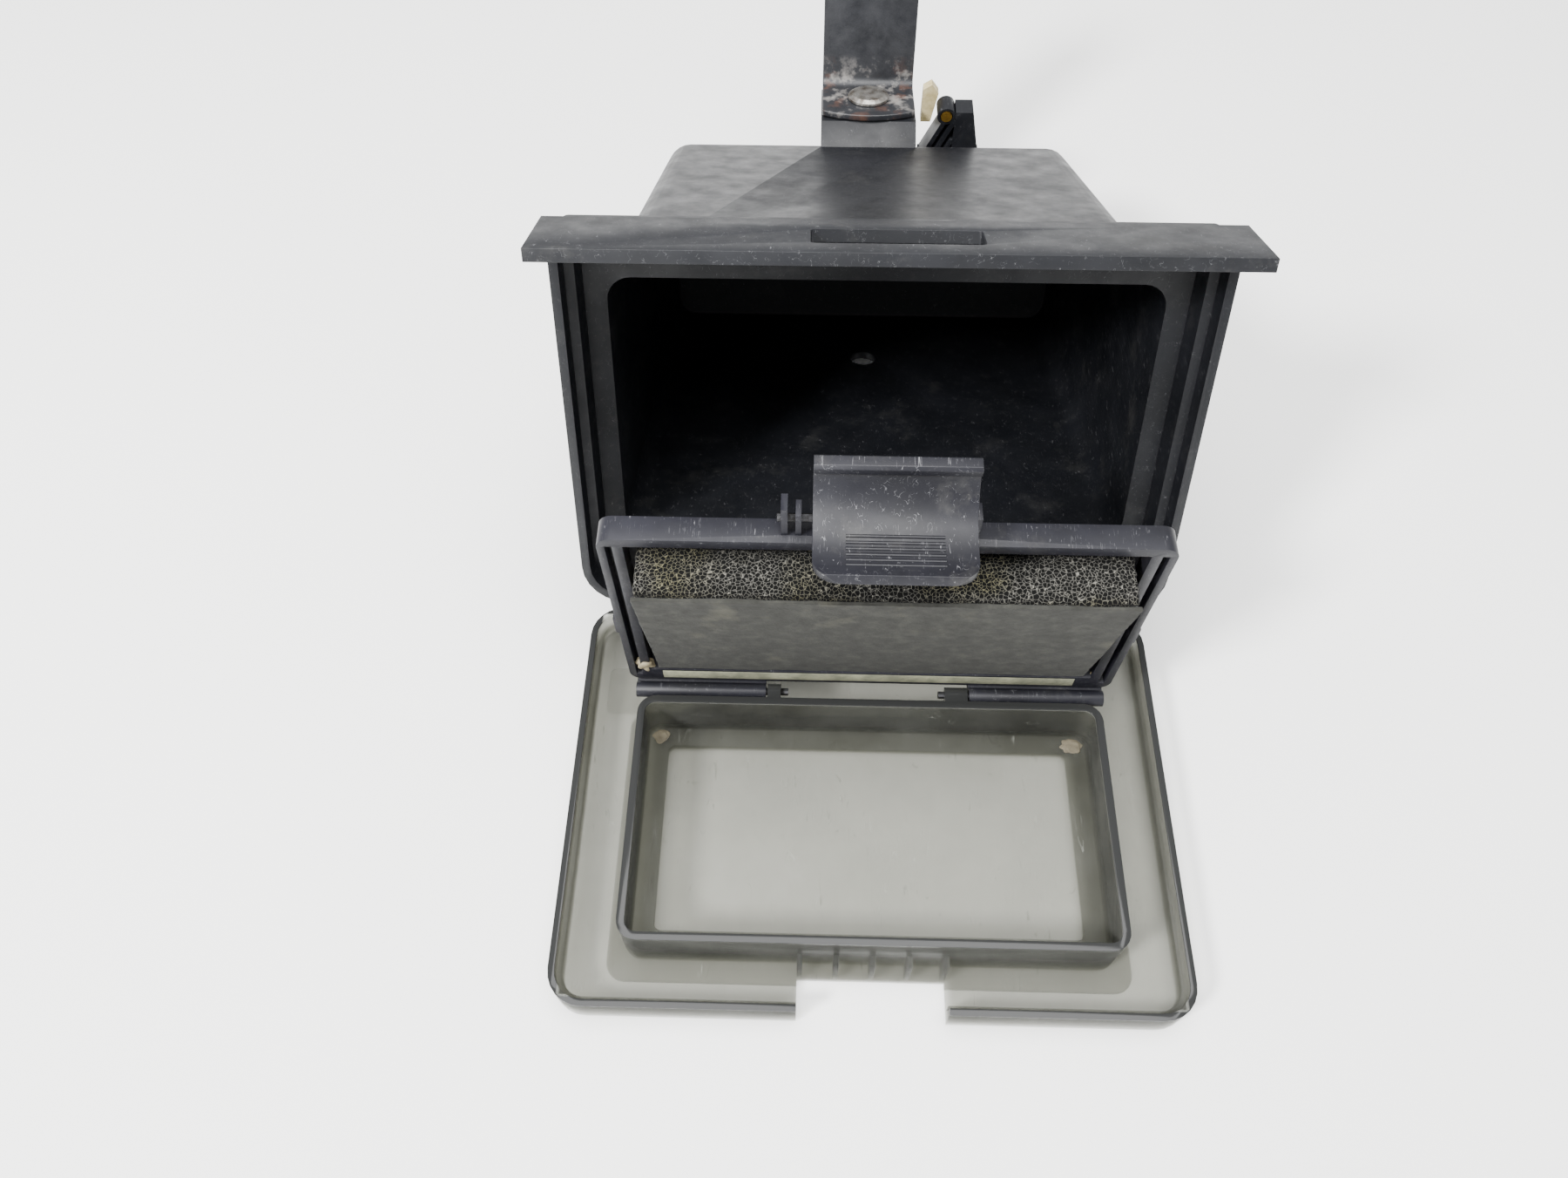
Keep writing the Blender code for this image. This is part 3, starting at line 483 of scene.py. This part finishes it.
def round_moulded_parts():
    """The moulded and pressed parts again, with the small radii that their tools leave."""
    # Solid, piece, edge width in millimetres, body, look, slot.
    plan = (
        ("housing_tub", "tub_moulding", 0.7, "housing", black, "black_moulding"),
        ("mounting_flange", "flange_moulding", 0.5, "housing", flange_black, "black_moulding"),
        ("rear_bracket", "bracket_moulding", 0.25, "housing", black, "black_moulding"),
        ("hanger_strap", "strap_pressing", 0.4, "housing", strip, "black_steel"),
        ("carrier_frame", "carrier_moulding", 0.35, "carrier", frame_black, "black_moulding"),
        ("latch_lever", "latch_moulding", 0.35, "latch", latch_black, "latch_moulding"),
        ("door_shell", "door_moulding", 0.35, "door", smoked, "smoked_clear"),
    )
    for node, name, width, body, material, slot in plan:
        piece = dress(refined(node, name, width), body, material)
        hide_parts(node)


def paint_small_parts():
    """Pins, rivet, spring, bush and glue keep their solids and take their finish."""
    looks = {"strap_rivet": steel, "bracket_pin": brass, "bracket_bush": cream, "latch_pin": dark_steel,
             "latch_spring": steel, "hinge_pin_left": dark_steel, "hinge_pin_right": dark_steel,
             "foam_adhesive": glue}
    for node, look in looks.items():
        data = frame["nodes"][node].data
        data.materials.clear()
        data.materials.append(look)


# ---------------------------------------------------------------- foam pad

def remesh(item, voxel):
    """Leaves edit mode, and makes a piece one even mesh."""
    bpy.ops.object.mode_set(mode="OBJECT")
    select_only(item)
    item.data.remesh_voxel_size = voxel * MM
    bpy.ops.object.voxel_remesh()


def swell(item, most):
    """Blows a pad up a little by cloth pressure, and caps how far each point goes."""
    rest = [vertex.co.copy() for vertex in item.data.vertices]
    cloth = item.modifiers.new("swell", "CLOTH").settings
    cloth.use_pressure = True
    cloth.uniform_pressure_force = CLOTH_PRESSURE
    cloth.effector_weights.gravity = 0.0
    cloth.tension_stiffness = CLOTH_TENSION
    cloth.bending_stiffness = CLOTH_BENDING
    scene = bpy.context.scene
    for step in range(1, CLOTH_STEPS + 1):
        scene.frame_set(step)
    moved = item.evaluated_get(bpy.context.evaluated_depsgraph_get()).data
    swelled = [vertex.co.copy() for vertex in moved.vertices]
    item.modifiers.clear()
    scene.frame_set(1)
    for vertex, start, end in zip(item.data.vertices, rest, swelled):
        move = end - start
        if move.length > most * MM:
            move = move.normalized() * most * MM
        vertex.co = start + move
    item.data.update()


def keep_inside(item, low, high):
    """Holds every point between two corners."""
    places = []
    for vertex in item.data.vertices:
        places.extend(min(max(value, least), most) for value, least, most in zip(vertex.co, low, high))
    item.data.vertices.foreach_set("co", places)
    item.data.update()


def push(item, rule):
    """Moves each point along its own normal by the millimetres that a rule gives for its place."""
    moves = [(vertex.co.copy(), vertex.normal.copy()) for vertex in item.data.vertices]
    places = []
    for spot, normal in moves:
        places.extend(spot + normal * rule(spot) * MM)
    item.data.vertices.foreach_set("co", places)
    item.data.update()


def wave(spot, shape):
    """A smooth rise and fall: shape is its length and its height, in millimetres."""
    length, height = shape
    return height * noise.noise(spot / (length * MM))


def cell_depth(spot):
    """Pits between the struts of the cells, on a surface that was cut unevenly."""
    distances = noise.voronoi(spot / (CELL_SIZE * MM))[0]
    pit = min(distances[1] - distances[0], PIT_EDGE) / PIT_EDGE
    return wave(spot, CUT_WAVE) - PIT_DEPTH * pit


def skin_wave(spot):
    """A slow wave, and a fine felt on top of it."""
    return wave(spot, SKIN_SLOW_WAVE) + wave(spot, SKIN_FELT) - SKIN_SINK


def make_pad():
    """The coarse open-cell block: cut from sheet, so its ends are ragged and its faces are pitted."""
    pad = merged_copy("foam_block", "foam_pad")
    remesh(pad, PAD_VOXEL)
    swell(pad, PAD_MOST_MOVE)
    remesh(pad, PAD_FINE_VOXEL)
    push(pad, cell_depth)
    keep_inside(pad, *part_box("foam_block"))
    smooth(pad, SOFT_SHADE_ANGLE)
    dress(pad, "carrier", foam_look)
    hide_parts("foam_block")


def make_skin():
    """The fine facing that is laminated to the pad's front: slightly wavy, with soft cut edges."""
    skin = merged_copy("foam_facing", "foam_facing_skin")
    remesh(skin, SKIN_VOXEL)
    push(skin, skin_wave)
    keep_inside(skin, *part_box("foam_facing"))
    smooth(skin, SOFT_SHADE_ANGLE)
    dress(skin, "carrier", facing_look)
    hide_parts("foam_facing")


# ---------------------------------------------------------------- small details

def make_latch_grip():
    """Raised grip lines across the thumb end of the latch's hollow front."""
    lines = []
    for degrees in GRIP_ANGLES:
        turn = math.radians(degrees)
        depth = LATCH_HOLLOW[0] + LATCH_HOLLOW_RADIUS * math.cos(turn)
        rise = LATCH_HOLLOW[1] + LATCH_HOLLOW_RADIUS * math.sin(turn)
        bpy.ops.object.select_all(action="DESELECT")
        bpy.ops.mesh.primitive_cylinder_add(vertices=10, radius=1.0, depth=1.0)
        line = bpy.context.object
        shape = Matrix.Diagonal((GRIP_HALF_HEIGHT, GRIP_HALF_WIDTH, GRIP_LENGTH, 1.0))
        lay = Matrix.Rotation(math.radians(90), 4, "Y")
        tilt = Matrix.Rotation(math.radians(degrees - 270), 4, "X")
        spot = Matrix.Translation((LATCH_CENTRE, depth, rise))
        line.matrix_world = frame_matrix(CARRIER_AT) @ spot @ tilt @ lay @ shape
        bake_place(line)
        lines.append(line)
    grip = joined("latch_grip_lines", lines)
    smooth(grip, SOFT_SHADE_ANGLE)
    dress(grip, "latch", latch_black)


def lump(name, centre, size, seed, place, body, material):
    """A blob of dried matter: a rounded ball, squashed and pushed about by noise."""
    bpy.ops.object.select_all(action="DESELECT")
    bpy.ops.mesh.primitive_ico_sphere_add(subdivisions=4, radius=0.5)
    item = bpy.context.object
    item.name = name
    for vertex in item.data.vertices:
        bulge = noise.noise(vertex.co * LUMP_GRAIN + Vector((seed, seed, seed)))
        vertex.co *= 1.0 + LUMP_ROUGHNESS * bulge
    item.matrix_world = frame_matrix(place) @ Matrix.Translation(centre) @ Matrix.Diagonal((*size, 1.0))
    bake_place(item)
    smooth(item, LUMP_SHADE_ANGLE)
    dress(item, body, material)


def make_glue_remains():
    """Dried glue on the carrier: a lump at each lower corner of the pad and a film along the shelf."""
    lump("glue_lump_left", *GLUE_LEFT, 1.7, CARRIER_AT, "carrier", glue)
    lump("glue_lump_right", *GLUE_RIGHT, 4.1, CARRIER_AT, "carrier", glue)
    film = block("glue_film", *GLUE_FILM, CARRIER_AT)
    apply_modifier(film, "soften", "BEVEL", width=0.05 * MM, segments=2)
    smooth(film)
    dress(film, "carrier", residue)


def make_tray_dirt():
    """Dried dirt in the tray's back corners."""
    for index, (centre, size) in enumerate(TRAY_DIRT):
        lump(f"tray_dirt_{index + 1}", centre, size, 2.3 + index, DOOR_AT, "door", dirt)


# ---------------------------------------------------------------- stage, light and camera

def add_light(name, direction, distance, size, power):
    """A round soft light that shines at the object from a distance."""
    data = bpy.data.lights.new(name, "AREA")
    data.shape = "DISK"
    data.size = size
    data.energy = power
    item = bpy.data.objects.new(name, data)
    bpy.context.scene.collection.objects.link(item)
    way = Vector(direction)
    item.location = Vector(LIGHT_TARGET) - way.normalized() * distance
    item.rotation_euler = way.to_track_quat("-Z", "Y").to_euler()


def make_stage():
    """A plain floor of pale paper, just under the object."""
    bpy.ops.object.select_all(action="DESELECT")
    bpy.ops.mesh.primitive_plane_add(size=FLOOR_SIZE, location=FLOOR_PLACE)
    floor = bpy.context.object
    floor.name = "studio_floor"
    bake_place(floor)
    material, tree, shader, place = start_material("pale_paper", {"Roughness": 0.85})
    drift = blotches(tree, place, 300.0, 0.3, 0.7, detail=2.0)
    tone = add(tree, "ShaderNodeMix", {0: drift, 6: colour("fafaf8"), 7: colour("fdfdfb")}, 2,
               data_type="RGBA")
    fill(tree, shader, {"Base Color": tone})
    floor.data.materials.append(material)


def make_light():
    """A bright plain room, a key light high on the front left, and a wide light overhead."""
    world = bpy.data.worlds.new("soft_room")
    world.use_nodes = True
    sky = world.node_tree.nodes["Background"]
    sky.inputs["Color"].default_value = colour("f6f7fa")
    sky.inputs["Strength"].default_value = ROOM_BRIGHTNESS
    bpy.context.scene.world = world
    add_light("key_softbox", *KEY_LIGHT)
    add_light("overhead_softbox", *OVERHEAD_LIGHT)


def make_camera():
    data = bpy.data.cameras.new("camera")
    data.lens = CAMERA_LENS
    data.sensor_width = 36.0
    data.clip_start = 0.01
    item = bpy.data.objects.new("camera", data)
    bpy.context.scene.collection.objects.link(item)
    turn = (Matrix.Rotation(math.radians(CAMERA_PAN), 4, "Z")
            @ Matrix.Rotation(math.radians(CAMERA_TILT), 4, "X")
            @ Matrix.Rotation(math.radians(CAMERA_ROLL), 4, "Z"))
    item.matrix_world = Matrix.Translation(CAMERA_PLACE) @ turn
    bpy.context.scene.camera = item


make_camera()
make_stage()
make_light()
round_moulded_parts()
paint_small_parts()
make_pad()
make_skin()
make_latch_grip()
make_glue_remains()
make_tray_dirt()
